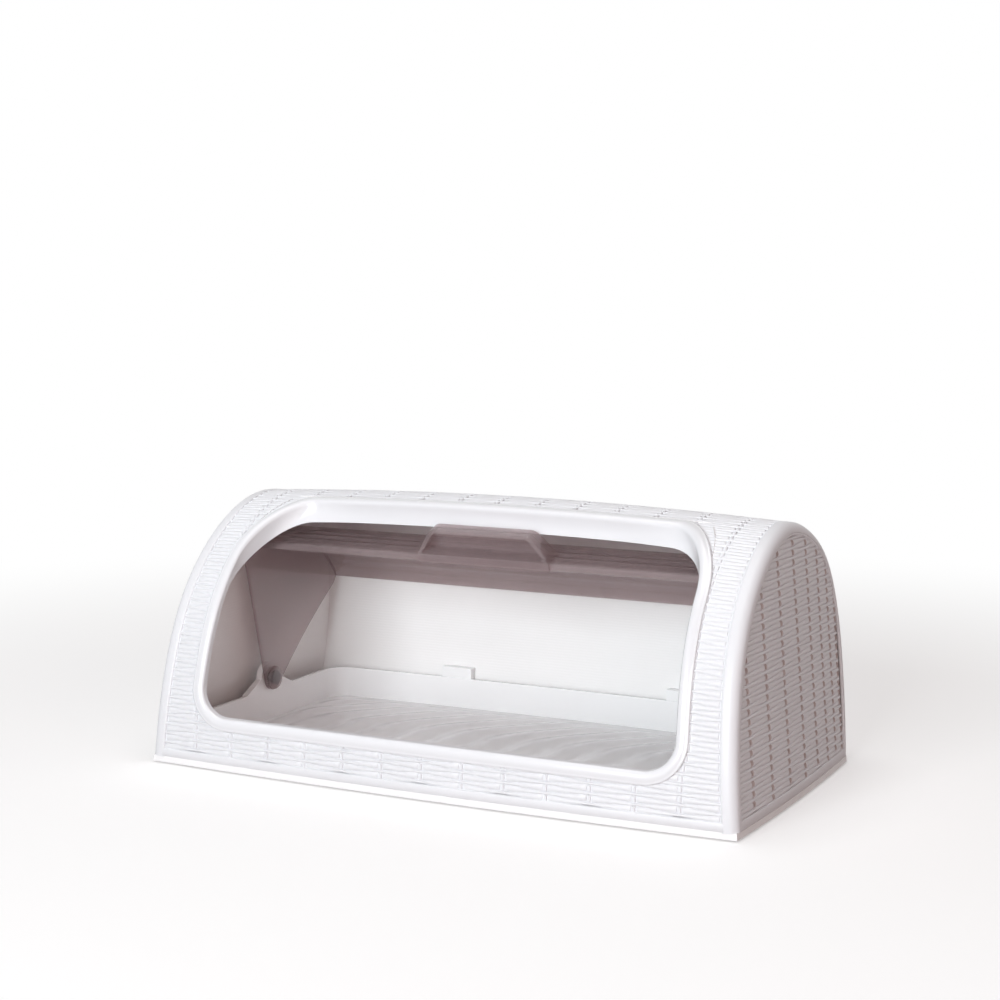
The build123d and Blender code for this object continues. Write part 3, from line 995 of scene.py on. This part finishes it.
def smoked(name, finish, tint, roughness):
    """Smoked plastic: tinted faces with a little haze, darker where seen aslant, under a streaky gloss."""
    material, tree = node_material(name)
    tree.nodes.remove(tree.nodes["Principled BSDF"])
    aslant = add_node(tree, "ShaderNodeLayerWeight", {"Blend": 0.5}).outputs["Facing"]
    straight_on, along, gloss_power = GLOSS
    times, tint_power = SLANT_TINT
    rise = calculate(tree, "POWER", aslant, gloss_power)
    gloss = add_node(tree, "ShaderNodeMapRange", {"Value": rise, "To Min": straight_on, "To Max": along})
    longer = calculate(tree, "POWER", aslant, tint_power)
    tints = {"Factor": longer, "A": (*tint, 1), "B": (*[channel**times for channel in tint], 1)}
    thick = add_node(tree, "ShaderNodeMix", tints, data_type="RGBA")
    clear = add_node(tree, "ShaderNodeBsdfTransparent", {"Color": thick.outputs["Result"]})
    haze = add_node(tree, "ShaderNodeBsdfDiffuse", {"Color": (*finish.smoke, 1)})
    inside = mix_shaders(tree, finish.haze, clear, haze)
    place = add_node(tree, "ShaderNodeTexCoord").outputs["Object"]
    stretch = add_node(tree, "ShaderNodeMapping", {"Vector": place, "Scale": (0.5, 9.0, 9.0)})
    streaks = {"Vector": stretch.outputs["Vector"], "Scale": 22.0, "Detail": 2.0}
    streak = add_node(tree, "ShaderNodeTexNoise", streaks).outputs["Fac"]
    range_of = {"Value": streak, "To Min": roughness, "To Max": roughness + 0.10}
    shine = add_node(tree, "ShaderNodeMapRange", range_of).outputs["Result"]
    face = add_node(tree, "ShaderNodeBsdfGlossy", {"Color": (1, 1, 1, 1), "Roughness": shine})
    whole = mix_shaders(tree, gloss.outputs["Result"], inside, face)
    wire(tree, tree.nodes["Material Output"], {"Surface": whole.outputs["Shader"]})
    return material


def seen_ray(tree):
    """Socket that is 1 for rays that are seen directly, in a gloss or through clear plastic."""
    rays = add_node(tree, "ShaderNodeLightPath").outputs
    direct = calculate(tree, "MAXIMUM", rays["Is Camera Ray"], rays["Is Glossy Ray"])
    return calculate(tree, "MAXIMUM", direct, rays["Is Transmission Ray"])


def finish_piece(piece, *materials):
    """Give a piece its materials in place of what it has."""
    piece.data.materials.clear()
    for material in materials:
        piece.data.materials.append(material)


# Place, width and colour of each lamp, and what they all shine at
LAMPS = {
    "key": ((-0.02, -2.20, 0.60), 1.1, (0.92, 0.975, 1.0)),
    "fill": ((1.72, -1.30, 0.45), 2.0, (1.0, 0.73, 0.68)),
    "top": ((-0.1, 0.05, 2.2), 1.5, (1.0, 0.985, 0.985)),
}
LAMP_TARGET = Vector((0, 0, 0.08))


class BREADBOX_OT_stage(bpy.types.Operator):
    """Set up the floor, the lamps, the even light and the camera"""

    bl_idname = "breadbox.stage"
    bl_label = "Stage"

    def execute(self, context):
        stage = context.scene.box_stage
        self.floor(stage)
        self.lamps(stage)
        self.sky(context.scene, stage)
        self.camera(context.scene, stage)
        context.scene.view_settings.view_transform = "Standard"
        return {"FINISHED"}

    def floor(self, stage):
        """Floor that takes the box's shadow and turns white with its distance."""
        half = stage.floor_size / 2
        corners = [(-half, -half, 0), (half, -half, 0), (half, half, 0), (-half, half, 0)]
        mesh = bpy.data.meshes.new("floor")
        mesh.from_pydata(corners, [], [(0, 1, 2, 3)])
        floor = bpy.data.objects.new("floor", mesh)
        bpy.context.scene.collection.objects.link(floor)
        material, tree = node_material("pale_floor")
        seen = seen_ray(tree)
        colours = {"Factor": seen, "A": (*stage.floor_bounce, 1), "B": (*stage.floor_seen, 1)}
        paint = add_node(tree, "ShaderNodeMix", colours, data_type="RGBA")
        shader = tree.nodes["Principled BSDF"]
        surface = {
            "Base Color": paint.outputs["Result"],
            "Roughness": 0.9,
            "Specular IOR Level": 0.1,
            "Emission Color": (1, 1, 1, 1),
            "Emission Strength": calculate(tree, "MULTIPLY", seen, stage.floor_glow),
        }
        wire(tree, shader, surface)
        place = add_node(tree, "ShaderNodeTexCoord").outputs["Object"]
        away = add_node(tree, "ShaderNodeVectorMath", {0: place}, operation="LENGTH").outputs["Value"]
        limits = {"Value": away, "From Min": stage.white_start, "From Max": stage.white_stop}
        far = add_node(tree, "ShaderNodeMapRange", limits, interpolation_type="SMOOTHSTEP")
        plain = calculate(tree, "MULTIPLY", far.outputs["Result"], seen)
        white = add_node(tree, "ShaderNodeEmission", {"Color": (1, 1, 1, 1), "Strength": 1.0})
        whole = mix_shaders(tree, plain, shader, white)
        wire(tree, tree.nodes["Material Output"], {"Surface": whole.outputs["Shader"]})
        mesh.materials.append(material)

    def lamps(self, stage):
        """Square lamps that face the box."""
        for name, (place, size, tint) in LAMPS.items():
            lamp = bpy.data.lights.new(name + "_lamp", "AREA")
            lamp.size = size
            lamp.energy = getattr(stage, name + "_power")
            lamp.color = tint
            holder = bpy.data.objects.new(name + "_lamp", lamp)
            bpy.context.scene.collection.objects.link(holder)
            holder.location = place
            aim = LAMP_TARGET - Vector(place)
            holder.rotation_euler = aim.to_track_quat("-Z", "Y").to_euler()

    def sky(self, scene, stage):
        """Even light that is seen as white."""
        world = bpy.data.worlds.new("even_light")
        scene.world = world
        world.use_nodes = True
        tree = world.node_tree
        tree.nodes.clear()
        light = {"Color": (*stage.sky_colour, 1), "Strength": stage.sky}
        white = {"Color": (1, 1, 1, 1), "Strength": 1.0}
        backgrounds = [add_node(tree, "ShaderNodeBackground", inputs) for inputs in (light, white)]
        whole = mix_shaders(tree, seen_ray(tree), *backgrounds)
        add_node(tree, "ShaderNodeOutputWorld", {"Surface": whole.outputs["Shader"]})

    def camera(self, scene, stage):
        """Camera at the photograph's place."""
        yaw, pitch = math.radians(stage.yaw), math.radians(stage.pitch)
        level = math.cos(pitch)
        ahead = Vector((-math.sin(yaw) * level, math.cos(yaw) * level, -math.sin(pitch)))
        right = Vector((math.cos(yaw), math.sin(yaw), 0))
        up = right.cross(ahead)
        data = bpy.data.cameras.new("camera")
        data.lens = stage.lens
        data.sensor_width = 36.0
        data.sensor_fit = "HORIZONTAL"
        camera = bpy.data.objects.new("camera", data)
        scene.collection.objects.link(camera)
        turn = Matrix((right, up, -ahead)).transposed().to_4x4()
        camera.matrix_world = Matrix.Translation(Vector(stage.camera_place)) @ turn
        scene.camera = camera


class BREADBOX_OT_cover(bpy.types.Operator):
    """Make the wicker cover with its rims, bands and inner faces"""

    bl_idname = "breadbox.cover"
    bl_label = "Wicker cover"

    def execute(self, context):
        scene = context.scene
        weave = scene.box_weave
        finish = scene.box_finish
        arch = Arch(scene.box_body)
        wicker = plastic("white_wicker", finish.cover)
        # The holes of the ends get a darker material: painted shade.
        holes = plastic("wicker_holes", finish.holes)
        # The lining gets a lighter, warmer white than the cover: partly painted light through the thin wall.
        lining = plastic("cover_lining", finish.lining)
        fields = cover_weave(arch, weave, scene.box_frame)
        for name, field in zip(("wicker_front", "wicker_back"), fields):
            self.piece(name, [field], (wicker,))
        for name, side in (("wicker_left_end", -1), ("wicker_right_end", 1)):
            vertices, faces, marks = end_weave(arch, weave, side)
            self.piece(name, [(vertices, faces)], (wicker, holes), marks)
        smooth = [cover_band(arch, weave, back) for back in (False, True)]
        for side in (-1, 1):
            smooth += [rim_mesh(arch, weave, side), end_band(arch, weave, side)]
        inner = lining_mesh(arch)
        marks = [0] * sum(len(faces) for _, faces in smooth) + [1] * len(inner[1])
        self.piece("cover_rims", [*smooth, inner], (wicker, lining), marks)
        return {"FINISHED"}

    def piece(self, name, parts, materials, marks=None):
        """Join parts into one piece that stands for the cover, without loose or collapsed faces."""
        piece = new_object(name, *join(parts), BOX, "wicker_plastic", "shell")
        finish_piece(piece, *materials)
        if marks:
            piece.data.polygons.foreach_set("material_index", marks)
        edit_mesh(piece, self.clean)
        smooth_mesh(piece, 55)

    @staticmethod
    def clean(mesh):
        """Take out collapsed faces and loose vertices."""
        bmesh.ops.dissolve_degenerate(mesh, dist=0.004 * MM, edges=mesh.edges)
        loose = [v for v in mesh.verts if not v.link_faces]
        bmesh.ops.delete(mesh, geom=loose, context="VERTS")


class BREADBOX_OT_frame(bpy.types.Operator):
    """Make the smooth frame round the opening, with its hand recess"""

    bl_idname = "breadbox.frame"
    bl_label = "Opening frame"

    def execute(self, context):
        scene = context.scene
        vertices, faces = frame_mesh(Arch(scene.box_body), scene.box_frame)
        piece = new_object("smooth_frame", vertices, faces, BOX, "frame_plastic", "opening_frame")
        finish_piece(piece, plastic("white_gloss", scene.box_finish.frame))
        smooth_mesh(piece, 60)
        return {"FINISHED"}


# Height of the ribs' sheet over the tray's floor where it has no ribs
OVER_FLOOR = 0.03 * MM


class BREADBOX_OT_tray(bpy.types.Operator):
    """Finish the tray and add the wavy ribs of its floor"""

    bl_idname = "breadbox.tray"
    bl_label = "Tray"

    def execute(self, context):
        scene = context.scene
        finish = plastic("tray_gloss", scene.box_finish.tray)
        finish_piece(frame["nodes"]["base_tray"], finish)
        vertices, faces = self.ribs(scene.box_tray)
        piece = new_object("tray_floor_ribs", vertices, faces, BOX, "tray_plastic")
        finish_piece(piece, finish)
        smooth_mesh(piece, 60)
        return {"FINISHED"}

    def ribs(self, tray):
        """Shallow waves that run from the front left to the back right of the floor."""
        across = np.linspace(-tray.half_width, tray.half_width, 231)
        x, y = np.meshgrid(across, np.linspace(tray.front, tray.back, 121))
        turn = 2 * math.pi * (y - tray.swing_start) / tray.swing_length
        phase = (x - tray.rib_slope * y + tray.rib_swing * np.sin(turn)) / tray.rib_pitch
        wave = 0.5 + 0.5 * np.sin(2 * math.pi * phase)
        inside_x = tray.half_width - np.abs(x)
        inside_y = np.minimum(y - tray.front, tray.back - y)
        fade = smoothstep(np.minimum(inside_x, inside_y), tray.fade_start, tray.fade_stop)
        z = tray.floor_level + OVER_FLOOR + tray.rib_height * wave * fade
        cut = (inside_x < tray.corner) & (inside_y < tray.corner)
        cut &= np.hypot(tray.corner - inside_x, tray.corner - inside_y) > tray.corner
        vertices, faces = grid_mesh(np.stack([x, y, z], -1), False)
        return vertices, [face for face in faces if not any(cut.flat[v] for v in face)]


class BREADBOX_OT_lid(bpy.types.Operator):
    """Make the smoked lid: a fluted rolled panel with two arms"""

    bl_idname = "breadbox.lid"
    bl_label = "Smoked lid"

    def execute(self, context):
        scene = context.scene
        lid = scene.box_lid
        inner = lid.half_width - lid.arm_wall
        panel = extrude_outline(panel_outline(lid), -lid.half_width, lid.half_width)
        left = extrude_outline(arm_outline(lid), -lid.half_width, -inner)
        right = extrude_outline(arm_outline(lid), inner, lid.half_width)
        vertices, faces = join([panel, left, right])
        piece = new_object("smoked_lid", vertices, faces, LID, "smoked_plastic", "lid")
        finish = scene.box_finish
        finish_piece(piece, smoked("smoke", finish, finish.tint, 0.10))
        edit_mesh(piece, face_outwards)
        smooth_mesh(piece, 35)
        return {"FINISHED"}


class BREADBOX_OT_handle(bpy.types.Operator):
    """Make the cup handle with rounded edges"""

    bl_idname = "breadbox.handle"
    bl_label = "Cup handle"

    def execute(self, context):
        scene = context.scene
        source = frame["nodes"]["lid_handle"]
        piece = source.copy()
        piece.data = source.data.copy()
        piece.name = "cup_handle"
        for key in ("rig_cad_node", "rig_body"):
            if key in piece:
                del piece[key]
        scene.collection.objects.link(piece)
        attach(piece, LID)
        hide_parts("lid_handle")
        edit_mesh(piece, lambda mesh: self.round_edges(mesh, scene.box_lid.edge_round))
        finish = scene.box_finish
        finish_piece(piece, smoked("handle_smoke", finish, finish.handle_tint, 0.09))
        smooth_mesh(piece, 40)
        return {"FINISHED"}

    @staticmethod
    def round_edges(mesh, width):
        """Join the flat faces, then round the edges between them."""
        bmesh.ops.remove_doubles(mesh, verts=mesh.verts, dist=0.01 * MM)
        bmesh.ops.dissolve_limit(mesh, angle_limit=math.radians(2), verts=mesh.verts, edges=mesh.edges)
        sharp = [e for e in mesh.edges if e.is_manifold and e.calc_face_angle(0.0) > math.radians(35)]
        bmesh.ops.bevel(
            mesh, geom=sharp, offset=width, segments=3, profile=0.5, affect="EDGES", clamp_overlap=True
        )


class BREADBOX_OT_fittings(bpy.types.Operator):
    """Make the hinge pins and finish the foot pads"""

    bl_idname = "breadbox.fittings"
    bl_label = "Pins and pads"

    def execute(self, context):
        finish = context.scene.box_finish
        pins = context.scene.box_pins
        materials = (smoked("pin_smoke", finish, finish.handle_tint, 0.14), plastic("dark_pin", finish.pins))
        rubber = plastic("pad_rubber", finish.pads)
        for side, name in ((-1, "hinge_pin_left"), (1, "hinge_pin_right")):
            self.pin(pins, side, name, materials)
        for name, node in frame["nodes"].items():
            if name.startswith("foot_pad"):
                finish_piece(node, rubber)
        return {"FINISHED"}

    def pin(self, pins, side, node, materials):
        """A clear domed cap over a dark hub and shank."""
        low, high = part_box(node)
        inner = min(abs(low.x), abs(high.x))
        outer = max(abs(low.x), abs(high.x))
        cap = 0.5 * (high.z - low.z)
        depth = pins.cap_depth
        shank = pins.shank_radius
        chamfer = 0.4 * MM
        hub_start, hub_stop = inner + 0.7 * MM, inner + depth - 0.1 * MM
        dome = [(inner, 0.0), (inner, 0.6 * cap), (inner + 0.25 * MM, 0.8 * cap)]
        dome += [(inner + 0.8 * MM, 0.95 * cap), (inner + 1.3 * MM, cap)]
        dome += [(inner + depth, cap), (inner + depth, 0.0)]
        core = [(hub_start, 0.0), (hub_start, pins.hub_radius)]
        core += [(hub_stop, pins.hub_radius), (hub_stop, shank)]
        core += [(outer - chamfer, shank), (outer, shank - chamfer), (outer, 0.0)]
        parts = [self.lathe(profile, side) for profile in (dome, core)]
        piece = new_object(node + "_look", *join(parts), LID, "pin_plastic", node)
        finish_piece(piece, *materials)
        marks = [number for number, (_, faces) in enumerate(parts) for _ in faces]
        piece.data.polygons.foreach_set("material_index", marks)
        edit_mesh(piece, face_outwards)
        smooth_mesh(piece, 40)

    def lathe(self, profile, side, turns=40):
        """Closed round body about the hinge line from places across and radii."""
        vertices = [(side * profile[0][0], PIVOT.y, PIVOT.z)]
        rings = profile[1:-1]
        for x, radius in rings:
            for step in range(turns):
                angle = 2 * math.pi * step / turns
                y, z = radius * math.cos(angle), radius * math.sin(angle)
                vertices.append((side * x, PIVOT.y + y, PIVOT.z + z))
        vertices.append((side * profile[-1][0], PIVOT.y, PIVOT.z))
        end = len(vertices) - 1
        faces = []
        for step in range(turns):
            onward = (step + 1) % turns
            faces.append((0, 1 + onward, 1 + step))
            for ring in range(len(rings) - 1):
                a, b = 1 + ring * turns + step, 1 + ring * turns + onward
                faces.append((a, b, b + turns, a + turns))
            last = 1 + (len(rings) - 1) * turns
            faces.append((last + step, last + onward, end))
        return vertices, faces


STEPS = (
    BREADBOX_OT_stage,
    BREADBOX_OT_cover,
    BREADBOX_OT_frame,
    BREADBOX_OT_tray,
    BREADBOX_OT_lid,
    BREADBOX_OT_handle,
    BREADBOX_OT_fittings,
)


class BREADBOX_PT_panel(bpy.types.Panel):
    """Sizes, colours and steps of the bread box"""

    bl_idname = "BREADBOX_PT_panel"
    bl_label = "Bread box"
    bl_space_type = "VIEW_3D"
    bl_region_type = "UI"
    bl_category = "Bread Box"

    def draw(self, context):
        for name, group in GROUPS.items():
            part = self.layout.box()
            part.label(text=group.__doc__)
            for key in group.__annotations__:
                part.prop(getattr(context.scene, name), key)
        for step in STEPS:
            self.layout.operator(step.bl_idname)


def register():
    for group in GROUPS.values():
        bpy.utils.register_class(group)
    for name, group in GROUPS.items():
        setattr(bpy.types.Scene, name, PointerProperty(type=group))
    for step in STEPS:
        bpy.utils.register_class(step)
    bpy.utils.register_class(BREADBOX_PT_panel)


def unregister():
    bpy.utils.unregister_class(BREADBOX_PT_panel)
    for step in reversed(STEPS):
        bpy.utils.unregister_class(step)
    for name, group in GROUPS.items():
        delattr(bpy.types.Scene, name)
        bpy.utils.unregister_class(group)


def main():
    """Register the add-on and make every piece."""
    register()
    for step in STEPS:
        family, name = step.bl_idname.split(".")
        getattr(getattr(bpy.ops, family), name)()


if __name__ == "__main__":
    main()
